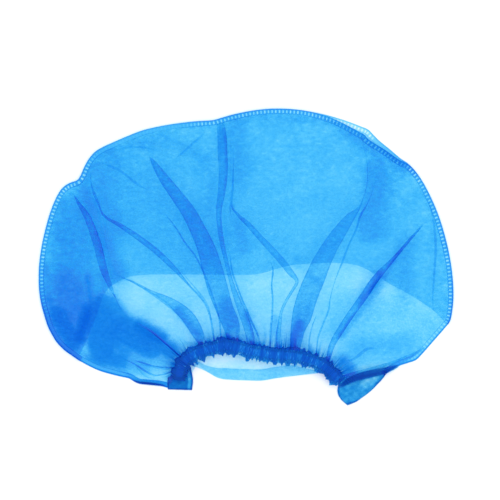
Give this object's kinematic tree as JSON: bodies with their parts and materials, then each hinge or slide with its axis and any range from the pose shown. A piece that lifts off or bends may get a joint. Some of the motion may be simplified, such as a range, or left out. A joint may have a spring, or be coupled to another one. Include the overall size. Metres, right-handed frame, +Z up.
{
  "type": "disposable elasticated hair cap",
  "caption": "Light nonwoven hair cap lying flat: two D-shaped panels with a folded crown gusset, welded edge seams, a ruffled elastic casing, a front hem and end tabs.",
  "frame": {"origin": "middle of the cap's outline, on the surface it lies on", "axes": "+Z up, +X to the right seen from above with the mouth nearest, +Y from the mouth to the crown"},
  "size_m": [0.3328, 0.2384, 0.027],
  "materials": {
    "panel_cloth": "thin see-through spunbond nonwoven, matte with a faint fibre mottle",
    "welded_cloth": "two plies fused by a row of short bars",
    "gathered_cloth": "densely gathered nonwoven, dark where many plies overlap",
    "hem_cloth": "doubled nonwoven",
    "elastic": "flat white elastic hidden in the casing"
  },
  "bodies": {
    "root": {"lower_panel": "panel_cloth", "upper_panel": "panel_cloth", "crown_gusset": "panel_cloth", "lower_seam": "welded_cloth", "upper_seam": "welded_cloth", "elastic_casing": "gathered_cloth", "elastic_band": "elastic", "front_hem": "hem_cloth", "left_tab": "hem_cloth", "right_tab": "hem_cloth"}
  },
  "joints": []
}
